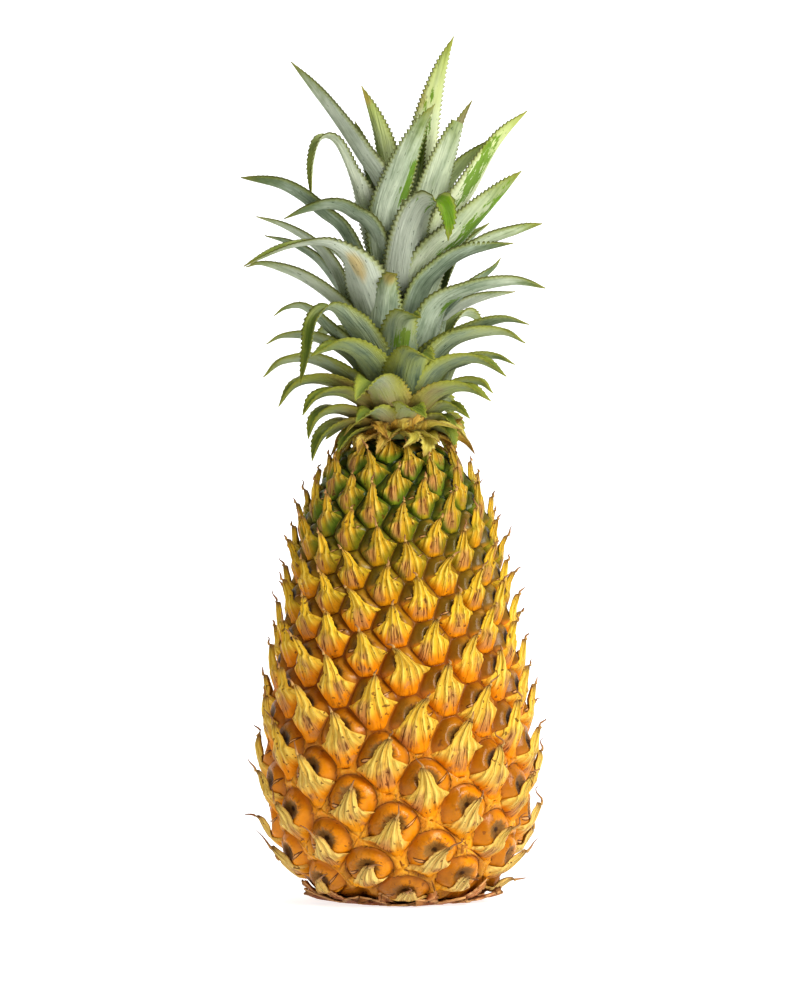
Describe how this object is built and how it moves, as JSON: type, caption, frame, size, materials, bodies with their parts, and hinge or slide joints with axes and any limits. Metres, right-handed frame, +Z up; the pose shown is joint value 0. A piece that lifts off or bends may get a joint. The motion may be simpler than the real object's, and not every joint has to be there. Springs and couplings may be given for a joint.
{
  "type": "pineapple",
  "caption": "Whole fresh pineapple standing on its base, with a swollen eyed fruit, a crown of toothed leaves and dry bracts at the foot.",
  "frame": {"origin": "centre of the flat cut face of the stalk, on the ground", "axes": "+Z up along the fruit towards the crown, -Y towards the viewer, +X to the viewer's right"},
  "size_m": [0.1188, 0.1144, 0.3371],
  "materials": {
    "rind": "ripe rind of raised eyes, golden yellow to orange, with pale dry bracts; leather stands in for fruit rind",
    "crown_leaf": "waxy grey-green leaves with bright green patches; leather stands in for a living leaf",
    "dry_bract": "papery red-brown dry bracts round a woody cut stalk; paper stands in for both"
  },
  "bodies": {
    "root": {"fruit": "rind", "crown": "crown_leaf", "stalk": "dry_bract"}
  },
  "joints": []
}
